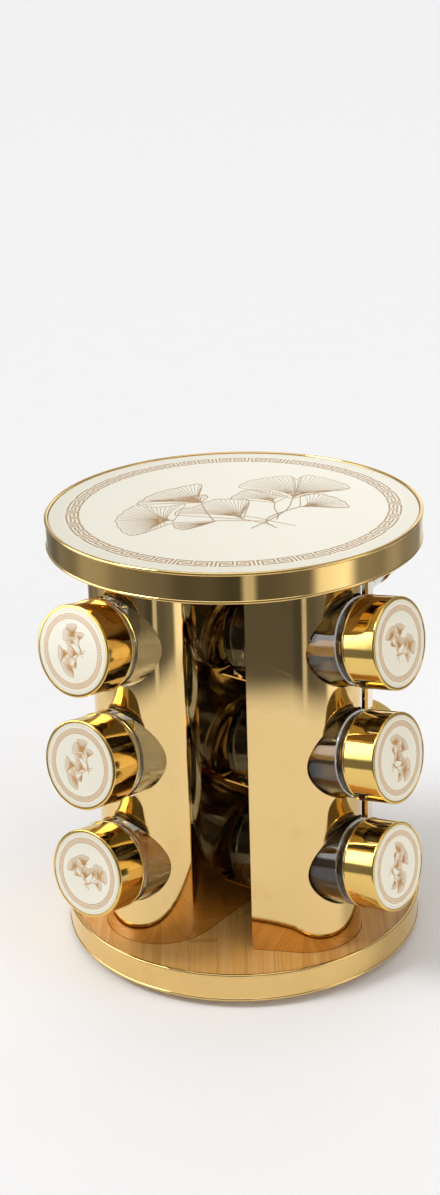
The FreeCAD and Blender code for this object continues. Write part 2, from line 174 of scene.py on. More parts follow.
class Finish:
    """A material, or the world, while it is made."""

    def __init__(self, owner):
        self.owner = owner
        owner.use_nodes = True
        self.tree = owner.node_tree
        self.tree.nodes.clear()

    def node(self, kind, settings=None, inputs=None, output=0):
        made = self.tree.nodes.new(kind)
        for key, value in (settings or {}).items():
            setattr(made, key, value)
        for key, value in (inputs or {}).items():
            if isinstance(value, Wire):
                self.tree.links.new(value.socket, made.inputs[key])
            else:
                made.inputs[key].default_value = value
        return Wire(self, made.outputs[output]) if made.outputs else None

    def place(self, turn=(0, 0, 0), scale=(1, 1, 1), source="Object"):
        """Coordinates in metres on the object, turned and then scaled for a pattern."""
        outputs = {"Object": 3, "UV": 2}
        here = self.node("ShaderNodeTexCoord", output=outputs[source])
        point = {"vector_type": "POINT"}
        turned = self.node("ShaderNodeMapping", point, {"Vector": here, "Rotation": turn})
        return self.node("ShaderNodeMapping", point, {"Vector": turned, "Scale": scale})

    def axes(self, vector):
        """The three numbers of a vector as three wires."""
        split = self.node("ShaderNodeSeparateXYZ", None, {0: vector})
        return [Wire(self, socket) for socket in split.socket.node.outputs]

    def noise(self, vector, scale, detail=3.0, roughness=0.5):
        inputs = {"Vector": vector, "Scale": scale, "Detail": detail, "Roughness": roughness}
        return self.node("ShaderNodeTexNoise", None, inputs)

    def mix(self, factor, first, second):
        """Blend two colours. Mix keeps red, green and blue apart, where a Math node would not."""
        inputs = {0: factor, 6: first, 7: second}
        return self.node("ShaderNodeMix", {"data_type": "RGBA"}, inputs, output=2)

    def ramp(self, share, levels):
        """A grey that eases from level to level; each level is a (position, brightness) pair."""
        made = self.node("ShaderNodeValToRGB", None, {"Fac": share})
        band = made.socket.node.color_ramp
        band.interpolation = "EASE"
        while len(band.elements) < len(levels):
            band.elements.new(0.5)
        for stop, (position, level) in zip(band.elements, levels):
            stop.position = position
            stop.color = (level, level, level, 1)
        return made

    def bump(self, height, distance, strength=1.0, under=None):
        inputs = {"Height": height, "Distance": distance, "Strength": strength}
        if under is not None:
            inputs["Normal"] = under
        return self.node("ShaderNodeBump", None, inputs)

    def surface(self, **inputs):
        """Close the material with a Principled BSDF; underscores in names stand for spaces."""
        named = {key.replace("_", " "): value for key, value in inputs.items()}
        shader = self.node("ShaderNodeBsdfPrincipled", None, named)
        self.node("ShaderNodeOutputMaterial", None, {"Surface": shader})
        return self.owner


def new_finish(name):
    return Finish(bpy.data.materials.new(name))


def paint(code):
    """A colour from a six-digit paint code, as the linear red, green, blue and alpha of a shader."""
    parts = [int(code[i:i + 2], 16) / 255 for i in (0, 2, 4)]
    return (*[p / 12.92 if p <= 0.04045 else ((p + 0.055) / 1.055) ** 2.4 for p in parts], 1.0)


print("gold in linear light:", [round(x, 3) for x in paint("DDB36A")[:3]])

# %% [markdown]
# ## Polished gold
# The columns, trays and caps are thin steel with a titanium-gold plating, polished to a mirror. On a
# mirror the colour map does very little: what sells it is what the reflection does. Three layers do
# that work: a slow waviness of the sheet, so that reflected edges wander; fine lines along the
# direction of polishing; and faint smudges that raise the roughness where fingers touch.
# One function makes all the golds, because they differ only in colour, in how wavy the sheet is and
# in which way its polishing lines run. Caps need one gold for each side that they face.

# %% Gold finishes
TRAY_GOLD = (paint("EDCD8F"), paint("D8B06A"))
BAND_GOLD = (paint("EBC985"), paint("D4AA62"))
CAP_GOLD = (paint("EAC774"), paint("D3A650"))


def polished_gold(name, colours, turn, line_scale, wave_height, wave_scale=26.0, smudge_scale=38.0):
    """Mirror gold; line_scale stretches the polishing lines along their direction."""
    gold = new_finish(name)
    here = gold.place()
    waves = gold.noise(here, wave_scale, detail=1.0)
    lines = gold.noise(gold.place(turn, line_scale), 1.0, detail=4.0, roughness=0.65)
    smudges = gold.noise(here, smudge_scale, detail=5.0, roughness=0.62).smooth(0.52, 0.78)
    slanted = gold.place((0.4, 0.9, turn[2] + 0.6), (900, 40, 40))
    scratches = gold.noise(slanted, 1.0, detail=2.0).smooth(0.68, 0.74)
    colour = gold.mix(0.35 * smudges + 0.25 * waves, *colours)
    sheet = gold.bump(waves, wave_height)
    grain = gold.bump(lines + 0.6 * scratches, 0.000004, 0.35, sheet)
    return gold.surface(
        Base_Color=colour,
        Metallic=1.0,
        Roughness=0.045 + 0.07 * smudges + 0.03 * lines + 0.05 * scratches,
        Normal=grain,
    )


gold_sheet = polished_gold("gold sheet, polished upward", TRAY_GOLD, (0, 0, 0), (420, 420, 9), 0.00010)
gold_band = polished_gold("gold band, polished round", BAND_GOLD, (0, 0, 0), (14, 14, 2600), 0.00003)
gold_caps = {
    side: polished_gold(
        "gold cap, " + side,
        CAP_GOLD,
        (0, math.radians(-80), math.radians(-turn)),
        (60, 60, 2400),
        0.00004,
        wave_scale=130.0,
        smudge_scale=90.0,
    )
    for side, turn in SIDES.items()
}
print("gold finishes:", 2 + len(gold_caps))

# %% [markdown]
# ## Clear glass
# Pressed soda glass is not perfectly clear or smooth: thick parts look faintly grey-green, the wall
# carries slow waves from the mould, and handling leaves a haze. Transmission stays at one all over.
# The haze and the waves are the only things that vary, through Roughness and the Normal.

# %% Glass finish
def clear_glass():
    glass = new_finish("clear jar glass")
    here = glass.place()
    haze = glass.noise(here, 60.0, detail=5.0, roughness=0.6).smooth(0.55, 0.85)
    waves = glass.noise(here, 70.0, detail=1.0)
    return glass.surface(
        Base_Color=glass.mix(haze, paint("D7D7D3"), paint("CDCDC9")),
        Roughness=0.004 + 0.05 * haze,
        Transmission_Weight=1.0,
        IOR=1.5,
        Normal=glass.bump(waves, 0.00008),
    )


jar_glass = clear_glass()
print("glass:", jar_glass.name)

# %% [markdown]
# ## Bamboo floor
# The lower tray holds a board of bamboo strips glued side by side. Each strip has its own tone, long
# dark fibres run the whole way along it, and a pale ring marks each joint of the culm. All three are
# stripes of different widths, so they come from one set of coordinates whose first axis runs across
# the strips and whose second runs along them.

# %% Bamboo finish
STRIP_WIDTH = 14.5 * MM
KNUCKLE_GAP = 210 * MM
FLOOR_ACROSS = 186.4 * MM


def bamboo():
    wood = new_finish("honey bamboo strips")
    along = (0, 0, -VIEW_TURN)
    across, length = wood.axes(wood.place(along))[:2]
    strip = (across / STRIP_WIDTH).call("FLOOR")
    tone = wood.node("ShaderNodeTexWhiteNoise", {"noise_dimensions": "1D"}, {"W": strip})
    fibres = wood.noise(wood.place(along, (1500, 16, 60)), 1.0, detail=4.0, roughness=0.6)
    streaks = wood.noise(wood.place(along, (240, 5, 30)), 1.0, detail=3.0)
    edge = ((across / STRIP_WIDTH).call("FRACT") - 0.5).call("ABSOLUTE").smooth(0.485, 0.5)
    steps = length / KNUCKLE_GAP + 3.7 * tone
    knuckle = (steps.call("FRACT") - 0.5).call("ABSOLUTE").smooth(0.487, 0.498)
    honey = wood.mix(0.75 * tone, paint("E2AC5E"), paint("CE9148"))
    fibred = wood.mix(0.55 * fibres.smooth(0.35, 0.75), honey, paint("AE7234"))
    streaked = wood.mix(0.4 * streaks.smooth(0.45, 0.7), fibred, paint("F0C687"))
    ringed = wood.mix(0.45 * knuckle, streaked, paint("9A6431"))
    colour = wood.mix(0.5 * edge, ringed, paint("7C4D22"))
    relief = fibres - 1.4 * edge - 0.6 * knuckle
    return wood.surface(
        Base_Color=colour,
        Roughness=0.34 + 0.16 * fibres,
        Coat_Weight=0.25,
        Coat_Roughness=0.18,
        Normal=wood.bump(relief, 0.00006, 0.6),
    )


bamboo_board = bamboo()
print("bamboo strips across the floor:", math.ceil(FLOOR_ACROSS / STRIP_WIDTH))

# %% [markdown]
# ## Printed cream lacquer
# The top tray holds a panel lacquered in warm ivory under a clear gloss coat. Beyond the printed
# border the ivory turns slightly greyer, which one smooth step on the distance from the centre gives.
# The discs in the caps are the same lacquer. They lie at twelve different tilts, so their pattern
# reads a flat UV map, in metres from the disc's centre, in place of the object's own coordinates.

# %% Cream finishes
def printed_cream(name, source, border_from, border_to):
    cream = new_finish(name)
    here = cream.place(source=source)
    x, y = cream.axes(here)[:2]
    radius = (x * x + y * y).call("SQRT")
    outer = radius.smooth(border_from, border_to)
    cloud = cream.noise(here, 40.0, detail=4.0)
    speck = cream.noise(here, 2600.0, detail=2.0).smooth(0.66, 0.8)
    warm = cream.mix(cloud, paint("EAE6D6"), paint("E6E1CE"))
    zoned = cream.mix(0.85 * outer, warm, paint("DFDAC6"))
    colour = cream.mix(0.12 * speck, zoned, paint("C9B98F"))
    peel = cream.noise(here, 900.0, detail=2.0)
    return cream.surface(
        Base_Color=colour,
        Roughness=0.32 + 0.1 * cloud,
        Coat_Weight=0.7,
        Coat_Roughness=0.06,
        Normal=cream.bump(peel, 0.000015, 0.5),
    )


def bronze_ink(name, source, light, dark):
    ink = new_finish(name)
    here = ink.place(source=source)
    grain = ink.noise(here, 1800.0, detail=3.0)
    cover = ink.noise(here, 120.0, detail=3.0)
    return ink.surface(
        Base_Color=ink.mix(cover, paint(light), paint(dark)),
        Metallic=0.1,
        Roughness=0.34 + 0.2 * grain,
        Coat_Weight=0.5,
        Coat_Roughness=0.08,
        Normal=ink.bump(grain, 0.00001, 0.4),
    )


BORDER_OUT = 84.6 * MM
cream_top = printed_cream("ivory lacquer, top", "Object", BORDER_OUT, BORDER_OUT + 1.5 * MM)
cream_cap = printed_cream("ivory lacquer, cap discs", "UV", 18.9 * MM, 19.4 * MM)
ink_top = bronze_ink("bronze ink, top", "Object", "B58C4C", "A07838")
ink_cap = bronze_ink("bronze ink, cap discs", "UV", "C8964E", "B58138")
print("border ends at", round(1000 * BORDER_OUT, 1), "mm")

# %% [markdown]
# ## Hidden working parts
# Under the floor sit the bearing races, the balls in their cage, the foot plate and its rubber pads,
# and a threaded rod ties the two trays together. They differ in colour, in how rough they are and in
# how coarse their surface is, so one function with those numbers as arguments covers them all.

# %% Working finishes
def workshop(name, light, dark, metallic, roughness, scale, relief):
    """A plain material with mottled colour, uneven gloss and a fine surface texture."""
    made = new_finish(name)
    here = made.place()
    mottle = made.noise(here, scale, detail=5.0, roughness=0.6)
    fine = made.noise(here, 12 * scale, detail=3.0)
    return made.surface(
        Base_Color=made.mix(mottle.smooth(0.3, 0.7), paint(light), paint(dark)),
        Metallic=metallic,
        Roughness=roughness + 0.18 * mottle + 0.08 * fine,
        Normal=made.bump(mottle + 0.5 * fine, relief, 0.6),
    )


finishes = {
    "gold_sheet": gold_sheet,
    "gold_band": gold_band,
    "clear_glass": jar_glass,
    "bamboo": bamboo_board,
    "printed_cream": cream_top,
    "liner_plastic": workshop("milky liner plastic", "DAD8D0", "CCC9BF", 0.0, 0.28, 90.0, 0.00003),
    "core_board": workshop("pressed fibre board", "B9986B", "A08057", 0.0, 0.62, 260.0, 0.00010),
    "dark_steel": workshop("blackened steel", "4A443D", "2E2A26", 0.8, 0.3, 120.0, 0.00003),
    "foot_rubber": workshop("foot rubber", "26241F", "1A1917", 0.0, 0.62, 200.0, 0.00006),
    "bearing_steel": workshop("bearing steel", "B9BBBD", "9C9EA0", 1.0, 0.12, 150.0, 0.00001),
    "cage_plastic": workshop("cage nylon", "DAD6C8", "C8C3B4", 0.0, 0.4, 160.0, 0.00004),
}
print("finishes:", len(finishes) + len(gold_caps))

# %% Give every CAD node its finish
for name, node in nodes.items():
    old = node.data.materials[0].name.split(".")[0]
    new = gold_caps[name.split("_")[2]] if old == "gold_cap" else finishes[old]
    node.data.materials[0] = new
print("painted nodes:", len(nodes))

# %% [markdown]
# ## Ribbons of ink
# All the printed lines are raised films of bronze ink a few hundredths of a millimetre thick. A
# meander needs crisp square corners, so its ribbons are drawn in mesh code with mitred corners. The
# helper takes a path of points, widens it, and bends the result round a circle through a function
# that the caller hands in. Long runs are divided, or they would cut across the circle.

# %% Mitred ribbon
def mitred_sides(path, width):
    """Left and right edge points of a ribbon along straight runs, square at both ends."""
    runs = [(b - a).normalized() for a, b in zip(path, path[1:])]
    across = [Vector((-run.y, run.x)) for run in runs]
    half = width / 2
    sides = [(path[0] - half * runs[0] + half * across[0], path[0] - half * runs[0] - half * across[0])]
    for corner, before, after in zip(path[1:], across, across[1:]):
        mitre = (before + after) / (1 + before.dot(after))
        sides.append((corner + half * mitre, corner - half * mitre))
    end = path[-1] + half * runs[-1]
    sides.append((end + half * across[-1], end - half * across[-1]))
    return sides


def add_ribbon(mesh, path, width, step, low, high, bend):
    """Add one closed ribbon to a bmesh, divided every `step` and bent by `bend(x, y, z)`."""
    sides = mitred_sides([Vector(p) for p in path], width)
    stations = []
    for (left_a, right_a), (left_b, right_b) in zip(sides, sides[1:]):
        parts = max(1, math.ceil((left_b - left_a).length / step))
        shares = [i / parts for i in range(parts)]
        stations += [(left_a.lerp(left_b, t), right_a.lerp(right_b, t)) for t in shares]
    stations.append(sides[-1])
    rings = []
    for left, right in stations:
        corners = [(left, low), (right, low), (right, high), (left, high)]
        rings.append([mesh.verts.new(bend(p.x, p.y, z)) for p, z in corners])
    for one, two in zip(rings, rings[1:]):
        for i in range(4):
            mesh.faces.new((one[i], one[i - 1], two[i - 1], two[i]))
    mesh.faces.new(rings[0])
    mesh.faces.new(rings[-1][::-1])


def mesh_object(name, mesh):
    """Turn a finished bmesh into an object at the origin, with its faces pointing outwards."""
    bmesh.ops.recalc_face_normals(mesh, faces=mesh.faces)
    data = bpy.data.meshes.new(name)
    mesh.to_mesh(data)
    mesh.free()
    made = bpy.data.objects.new(name, data)
    bpy.context.scene.collection.objects.link(made)
    return made


print("mitre of a square corner:", round(1 / math.cos(math.radians(45)), 3), "times the half width")

# %% [markdown]
# ## One key of the meander
# The border of the top repeats one key 26 times, and the small one on a cap 14 times. Drawn on
# squared paper ten squares long and three high, a key is a pair of hooks that mirror each other,
# under a bar whose own two ends curl in between them. The size of a square comes out of the circle
# itself: its length divided by the number of keys and by ten.

# %% Meander key
TOP_KEYS = 26
CAP_KEYS = 14
KEY_SQUARES = 10
KEY_HOOKS = [
    [(0, 3), (0, 0), (4, 0), (4, 2), (2, 2)],
    [(9, 3), (9, 0), (5, 0), (5, 2), (7, 2)],
    [(3, 1), (1, 1), (1, 3), (8, 3), (8, 1), (6, 1)],
]


KEY_LINE = 0.48
KEY_STEP = 2.4


def meander_key(name, count, middle_r, low, high):
    """The first key of a border whose middle line has this radius."""
    square = math.tau * middle_r / (count * KEY_SQUARES)

    def bend(x, y, z):
        angle = x / middle_r
        radius = middle_r + y - 1.5 * square
        return (radius * math.cos(angle), -radius * math.sin(angle), z)

    mesh = bmesh.new()
    for hook in KEY_HOOKS:
        path = [(x * square, y * square) for x, y in hook]
        add_ribbon(mesh, path, KEY_LINE * square, KEY_STEP * square, low, high, bend)
    return mesh_object(name, mesh), square


TOP_FACE = 232.3 * MM
INK_SUNK = 0.03 * MM
INK_PROUD = 0.05 * MM
TOP_BORDER_R = 80.9 * MM
film = (TOP_FACE - INK_SUNK, TOP_FACE + INK_PROUD)
top_key, top_square = meander_key("top_key", TOP_KEYS, TOP_BORDER_R, *film)
print("one square of the key:", round(1000 * top_square, 2), "mm; faces:", len(top_key.data.polygons))

# %% [markdown]
# ## Repeating with Geometry Nodes
# A border of equal keys is a job for instances: the tree takes whatever mesh it is given, turns
# copies of it about the Z axis, and makes them real at the end. Trees are written with the same idea
# as the shaders, one method for every node. The count and the material are named inputs, so the same
# tree serves the big border and the small ones.

# %% Geometry tree helper
class Tree:
    """A geometry node group while it is made."""

    def __init__(self, name, inputs):
        self.group = bpy.data.node_groups.new(name, "GeometryNodeTree")
        face = self.group.interface
        face.new_socket("Geometry", in_out="INPUT", socket_type="NodeSocketGeometry")
        self.ids = {}
        for label, kind in inputs.items():
            socket = face.new_socket(label, in_out="INPUT", socket_type="NodeSocket" + kind)
            self.ids[label] = socket.identifier
        face.new_socket("Geometry", in_out="OUTPUT", socket_type="NodeSocketGeometry")
        self.inputs = self.group.nodes.new("NodeGroupInput")

    def given(self, label="Geometry"):
        return self.inputs.outputs[label]

    def node(self, kind, settings=None, inputs=None, output=0):
        made = self.group.nodes.new(kind)
        for key, value in (settings or {}).items():
            setattr(made, key, value)
        for key, value in (inputs or {}).items():
            for one in value if isinstance(value, list) else [value]:
                if isinstance(one, bpy.types.NodeSocket):
                    self.group.links.new(one, made.inputs[key])
                else:
                    made.inputs[key].default_value = one
        return made.outputs[output] if made.outputs else None

    def math(self, operation, first, second=0.0):
        return self.node("ShaderNodeMath", {"operation": operation}, {0: first, 1: second})

    def finish(self, geometry, material):
        """Make instances real, give the material and send the result out."""
        real = self.node("GeometryNodeRealizeInstances", None, {0: geometry})
        painted = self.node("GeometryNodeSetMaterial", None, {"Geometry": real, "Material": material})
        self.node("NodeGroupOutput", None, {0: painted})


def grow(source, tree, values, name):
    """Run a tree on an object and keep the result as a plain mesh object of its own."""
    modifier = source.modifiers.new(tree.group.name, "NODES")
    modifier.node_group = tree.group
    for label, value in values.items():
        modifier[tree.ids[label]] = value
    graph = bpy.context.evaluated_depsgraph_get()
    data = bpy.data.meshes.new_from_object(source.evaluated_get(graph), depsgraph=graph)
    data.name = name
    bpy.data.objects.remove(source)
    made = bpy.data.objects.new(name, data)
    bpy.context.scene.collection.objects.link(made)
    return made


# %% Border tree
def border_tree():
    tree = Tree("keys round a circle", {"Keys": "Int", "Ink": "Material"})
    spots = tree.node("GeometryNodeMeshLine", None, {"Count": tree.given("Keys"), "Offset": (0, 0, 0)})
    step = tree.math("DIVIDE", math.tau, tree.given("Keys"))
    angle = tree.math("MULTIPLY", tree.node("GeometryNodeInputIndex"), step)
    turn = tree.node("ShaderNodeCombineXYZ", None, {"Z": angle})
    inputs = {"Points": spots, "Instance": tree.given(), "Rotation": turn}
    tree.finish(tree.node("GeometryNodeInstanceOnPoints", None, inputs), tree.given("Ink"))
    return tree


border = border_tree()
top_border = grow(top_key, border, {"Keys": TOP_KEYS, "Ink": ink_top}, "top_border")
print("border faces:", len(top_border.data.polygons))

# %% [markdown]
# ## Ginkgo leaves
# The print shows fan-shaped ginkgo leaves: a scalloped rim, veins that fan out from the stalk's
# end, and long crossing stalks. A fan follows a rule, so each leaf needs only its stalk end and a
# few points of its rim: the rim is a smooth curve through them, the scallops are added across it,
# and the veins run towards evenly spaced points of the rim. Most of them start a little way out,
# because lines that all met at the stalk's end would clog into a blot.

# %% Leaf line work
def smooth_curve(points, per_span=7):
    """A Catmull-Rom curve through the points."""
    p = [Vector(q) for q in points]
    p = [2 * p[0] - p[1], *p, 2 * p[-1] - p[-2]]
    curve = []
    for a, b, c, d in zip(p, p[1:], p[2:], p[3:]):
        for i in range(per_span):
            t = i / per_span
            curve.append(0.5 * (2 * b + (c - a) * t + (2 * a - 5 * b + 4 * c - d) * t * t
                                + (3 * b - a - 3 * c + d) * t ** 3))
    curve.append(p[-2])
    return curve


def along(curve, share):
    """The point at this share of a curve's length."""
    lengths = [(b - a).length for a, b in zip(curve, curve[1:])]
    left = share * sum(lengths)
    for a, b, length in zip(curve, curve[1:], lengths):
        if left <= length:
            return a.lerp(b, left / length)
        left -= length
    return curve[-1]


def bowed(start, end, lean, steps=8):
    """A line from start to end that leaves start in the direction of `lean`."""
    middle = start + lean
    return [(1 - t) ** 2 * start + 2 * t * (1 - t) * middle + t * t * end
            for t in [i / steps for i in range(steps + 1)]]


# How many points each vein, in turn, leaves out at the stalk's end.
VEIN_STARTS = [0, 3, 1, 3]
VEIN_REACH = 0.965
VEIN_BOW = 0.28
VEINS_PER_LOBE = 3
EDGE_STEPS = 6
EDGE_WIDTH = 1.5
STALK_WIDTH = 1.8


def leaf_lines(stalk_end, rim, veins, vein_width, scallop=0.9):
    """All lines of one leaf, each a (width, points) pair in millimetres."""
    base = Vector(stalk_end)
    rim_curve = smooth_curve(rim)
    edge = []
    samples = EDGE_STEPS * veins
    for i in range(samples + 1):
        point = along(rim_curve, i / samples)
        out = (point - base).normalized()
        lobe = abs(math.sin(math.pi * i / samples * veins / VEINS_PER_LOBE))
        edge.append(point + out * scallop * (lobe - 0.5))
    middle = along(rim_curve, 0.5) - base
    lines = [(EDGE_WIDTH * vein_width, [base, *edge, base])]
    for i in range(1, veins):
        line = bowed(base, base.lerp(edge[EDGE_STEPS * i], VEIN_REACH), VEIN_BOW * middle)
        lines.append((vein_width, line[VEIN_STARTS[i % len(VEIN_STARTS)]:]))
    return lines


print("scallops on a leaf of 24 veins:", 24 // VEINS_PER_LOBE)

# %% The drawing on the top
TOP_LEAVES = [
    ((30.1, 11.7), [(2.5, 33), (10, 43.5), (28.4, 49.7), (33.5, 43), (39, 49.5), (52, 40),
                    (59.9, 26), (42.5, 20)], 38),
    ((21.1, 6.0), [(-1.8, 14.5), (7.0, 27.7), (17.1, 25.8), (27.8, 15.7)], 16),
    ((33.5, -1.3), [(34.1, 15.7), (43.5, 18.2), (53.6, 8.2), (56.7, -4.4), (39.8, -1.9)], 20),
    ((-16.2, 9.4), [(-49.3, 8.8), (-41.4, 24.5), (-28.2, 34.6), (-16.9, 39.0), (-17.5, 20.8)], 24),
    ((-16.2, 9.4), [(-43.9, 14.0), (-30, 16.5), (-15.6, 21.5), (-13.1, 17.5)], 14),
    ((-29.4, -17.0), [(-24, 8), (-38, 3.5), (-49.6, 6.9), (-57.1, -8.2), (-57.8, -19), (-53.4, -33.3),
                      (-48.3, -37.7), (-39.5, -30.8), (-30.5, -21)], 38),
    ((4.5, -18.2), [(-29.4, -9.4), (-26.9, -0.6), (-19.4, 2.5), (-15.6, 7.5), (-9.3, 13.2), (-1, 13.2),
                    (7.7, 10.7), (5.5, -12)], 30),
    ((-8.1, -19.5), [(-29.4, -20.8), (-29, -27), (-24.5, -31.5), (-15.6, -26)], 14),
]
TOP_STALKS = [
    [(30.1, 11.7), (27, -4), (18.5, -19), (8.3, -32.1)],
    [(21.1, 6.0), (20.5, -2), (22.1, -13.2), (21, -20)],
    [(33.5, -1.3), (24.7, -8.2), (17.1, -17.0), (16.5, -25), (20.9, -32.7)],
    [(-16.2, 9.4), (-14, -4), (-9.9, -18.9)],
    [(4.5, -13.2), (12, -17), (21, -24), (30.1, -30.2)],
    [(-8.1, -19.5), (4, -20.5), (16.5, -22.0)],
    [(4.5, -18.2), (11, -22.5), (19.0, -28.3)],
]


def drawing(vein_width):
    """The whole sprig. Finer veins suit the big panel, and bolder ones the small cap discs."""
    lines = [line for leaf in TOP_LEAVES for line in leaf_lines(*leaf, vein_width)]
    return lines + [(STALK_WIDTH * vein_width, smooth_curve(stalk)) for stalk in TOP_STALKS]


top_drawing = drawing(0.31)
print("lines in the drawing:", len(top_drawing))

# %% [markdown]
# ## From lines to ink
# The leaf lines are curves without sharp corners, so Geometry Nodes can widen them: each polyline
# becomes a curve, takes its width from a named attribute, and sweeps a flat rectangle along itself.
# The curve's normal is held level, or the ribbons would twist on their way. Lines that cross lie at
# slightly different heights: two faces at exactly the same height would shade each other black.

# %% Ink tree
# The film and the step between neighbouring lines are shares of a line's own width.
LAYERS = 11
LAYER = 0.012
INK_FILM = 0.22


def wire_object(name, lines, scale, turn, height):
    """Polylines as loose edges, with each line's width stored on its points."""
    points, edges, widths = [], [], []
    for count, (width, line) in enumerate(lines):
        start = len(points)
        level = height + LAYER * (count % LAYERS) * width * scale * MM
        for p in line:
            flat = Matrix.Rotation(turn, 2) @ (scale * MM * Vector(p))
            points.append((flat.x, flat.y, level))
        edges += [(i, i + 1) for i in range(start, len(points) - 1)]
        widths += [width * scale * MM] * len(line)
    data = bpy.data.meshes.new(name)
    data.from_pydata(points, edges, [])
    data.attributes.new("line_width", "FLOAT", "POINT").data.foreach_set("value", widths)
    made = bpy.data.objects.new(name, data)
    bpy.context.scene.collection.objects.link(made)
    return made


def ink_tree():
    tree = Tree("ink along lines", {"Film": "Float", "Ink": "Material"})
    curve = tree.node("GeometryNodeMeshToCurve", None, {0: tree.given()})
    level = tree.node("GeometryNodeSetCurveNormal", {"mode": "Z_UP"}, {0: curve})
    width = tree.node("GeometryNodeInputNamedAttribute", {"data_type": "FLOAT"}, {"Name": "line_width"})
    section = {"Width": 1.0, "Height": tree.given("Film")}
    shape = tree.node("GeometryNodeCurvePrimitiveQuadrilateral", None, section)
    swept = tree.node("GeometryNodeCurveToMesh", None,
                      {"Curve": level, "Profile Curve": shape, "Scale": width, "Fill Caps": True})
    tree.finish(swept, tree.given("Ink"))
    return tree


ink_lines = ink_tree()
top_wires = wire_object("top_wires", top_drawing, 1.0, VIEW_TURN, TOP_FACE)
top_leaves = grow(top_wires, ink_lines, {"Film": INK_FILM, "Ink": ink_top}, "top_leaves")
proud = max(v.co.z for v in top_leaves.data.vertices) - TOP_FACE
print("ink stands proud by", round(1e6 * proud), "microns; faces:", len(top_leaves.data.polygons))

# %% [markdown]
# ## Joining the print
# The border and the leaves are one printing, so they are joined into one object with one material.
# The object keeps its place at the origin, and it rides on the rack, because the whole rack turns.

# %% Join and ride
def join(name, parts):
    """One object from the meshes of several, all of them at the origin."""
    mesh = bmesh.new()
    materials = []
    for part in parts:
        own = part.data.materials[part.data.polygons[0].material_index]
        if own not in materials:
            materials.append(own)
        start = len(mesh.faces)
        mesh.from_mesh(part.data)
        mesh.faces.ensure_lookup_table()
        for face in mesh.faces[start:]:
            face.material_index = materials.index(own)
    made = mesh_object(name, mesh)
    for material in materials:
        made.data.materials.append(material)
    for part in parts:
        bpy.data.objects.remove(part)
    return made


BORDER_START = math.radians(90 + 6.2)
top_border.data.transform(Matrix.Rotation(VIEW_TURN + BORDER_START, 4, "Z"))
top_print = join("top_print_ink", [top_border, top_leaves])
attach(top_print, "rack")
print("top print triangles:", sum(len(p.vertices) - 2 for p in top_print.data.polygons))

# %% [markdown]
# ## Cap discs
# Every cap's sunk face holds a thin disc with the same border and the same leaves in small. One disc
# is modelled flat, with its UV map in metres, and then laid onto each jar's axis. The caps screw
# down to a different stop on every jar, so each sprig ends up at an angle of its own.

# %% One printed disc
CAP_DISC_R = 20.8 * MM
CAP_FLOOR = JAR_LENGTH - 0.40 * MM
DISC_T = 0.30 * MM
DISC_GAP = 0.02 * MM
DISC_BEVEL = 0.08 * MM
CAP_INK_SUNK = 0.02 * MM
CAP_INK_PROUD = 0.03 * MM
CAP_BORDER_R = 16.9 * MM
CAP_DRAWING = drawing(0.7)
CAP_DRAWING_SCALE = 0.2


def plain_disc(name, radius, low, high, bevel, sides=96):
    """A closed disc with a bevelled rim on its face."""
    mesh = bmesh.new()
    rings = []
    for r, z in ((radius, low), (radius, high - bevel), (radius - bevel, high)):
        rings.append([mesh.verts.new((r * math.cos(a), r * math.sin(a), z))
                      for a in [math.tau * i / sides for i in range(sides)]])
    for one, two in zip(rings, rings[1:]):
        for i in range(sides):
            mesh.faces.new((one[i - 1], one[i], two[i], two[i - 1]))
    mesh.faces.new(rings[0][::-1])
    mesh.faces.new(rings[-1])
    return mesh_object(name, mesh)


def cap_disc():
    """The printed disc of a cap, flat, at the height that it has above the jar's bottom."""
    back = CAP_FLOOR + DISC_GAP
    face = back + DISC_T
    disc = plain_disc("disc", CAP_DISC_R, back, face, DISC_BEVEL)
    disc.data.materials.append(cream_cap)
    key = meander_key("cap_key", CAP_KEYS, CAP_BORDER_R, face - CAP_INK_SUNK, face + CAP_INK_PROUD)[0]
    keys = grow(key, border, {"Keys": CAP_KEYS, "Ink": ink_cap}, "keys")
    wires = wire_object("cap_wires", CAP_DRAWING, CAP_DRAWING_SCALE, 0.0, face)
    leaves = grow(wires, ink_lines, {"Film": INK_FILM, "Ink": ink_cap}, "leaves")
    disc = join("disc", [disc, keys, leaves])
    layer = disc.data.uv_layers.new(name="disc")
    for loop in disc.data.loops:
        layer.data[loop.index].uv = disc.data.vertices[loop.vertex_index].co.xy
    return disc


pattern_disc = cap_disc()
print("disc triangles:", sum(len(p.vertices) - 2 for p in pattern_disc.data.polygons))

# %% Twelve discs, each at its own angle
CAP_TURNS = {
    ("front", "top"): 150, ("front", "middle"): 140, ("front", "bottom"): 60,
    ("right", "top"): 25, ("right", "middle"): -15, ("right", "bottom"): -40,
    ("rear", "top"): 200, ("rear", "middle"): 310, ("rear", "bottom"): 130,
    ("left", "top"): 10, ("left", "middle"): 245, ("left", "bottom"): 170,
}


def copy_on_jar(source, name, side, level, turn=0.0):
    """A copy of a piece drawn along +Z, turned about that axis and laid on one jar."""
    data = source.data.copy()
    data.transform(jar_matrix(side, level) @ Matrix.Rotation(math.radians(turn), 4, "Z"))
    made = bpy.data.objects.new(name, data)
    bpy.context.scene.collection.objects.link(made)
    return made


for side, level in PLACES:
    turn = CAP_TURNS[side, level]
    disc = copy_on_jar(pattern_disc, "cap_print_" + side + "_" + level, side, level, turn)
    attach(disc, "cap_" + side + "_" + level)
bpy.data.objects.remove(pattern_disc)
print("cap discs:", len(CAP_TURNS))

